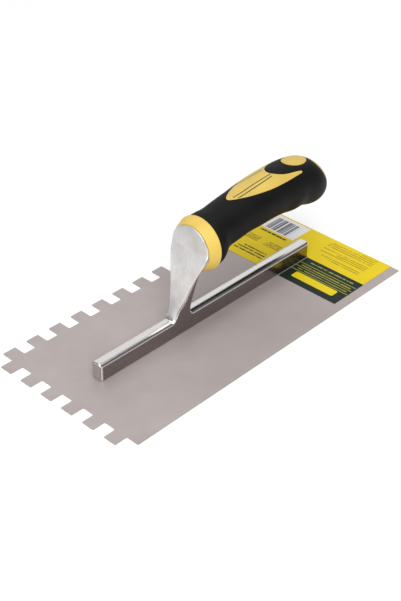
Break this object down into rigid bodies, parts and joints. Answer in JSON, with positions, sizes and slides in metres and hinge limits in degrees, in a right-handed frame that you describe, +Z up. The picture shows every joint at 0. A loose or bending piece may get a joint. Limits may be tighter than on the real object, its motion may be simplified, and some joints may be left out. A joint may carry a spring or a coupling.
{
  "type": "notched trowel",
  "caption": "Flat rectangular steel trowel with square notches on one long edge and one end, a cast neck and a soft two-colour handle.",
  "frame": {"origin": "centre of the blade's underside, where the tool rests flat", "axes": "+X along the blade towards the notched short end, +Y towards the plain long edge, +Z up from the blade to the handle"},
  "size_m": [0.28, 0.13, 0.0907],
  "materials": {
    "blade_steel": "fine lengthwise grain, satin",
    "cast_aluminium": "as cast on the neck, polished on the bar's flats and edges",
    "rivet_steel": "ground flush with the blade",
    "core_plastic": "moulded polypropylene",
    "grip_rubber": "fine matt moulded texture",
    "collar_plastic": "moulded, satin",
    "inlay_plastic": "moulded, satin",
    "badge_plastic": "moulded, satin",
    "cap_plastic": "moulded, satin",
    "screw_steel": "zinc plated",
    "washer_steel": "zinc plated",
    "label_print": "printed film, glossy"
  },
  "bodies": {
    "root": {"blade": "blade_steel", "mounting_casting": "cast_aluminium", "blade_rivets": "rivet_steel", "handle_core": "core_plastic", "soft_grip": "grip_rubber", "front_collar": "collar_plastic", "top_inlay": "inlay_plastic", "oval_badge": "badge_plastic", "butt_cap": "cap_plastic", "handle_screw": "screw_steel", "screw_washer": "washer_steel", "blade_label": "label_print"}
  },
  "joints": []
}
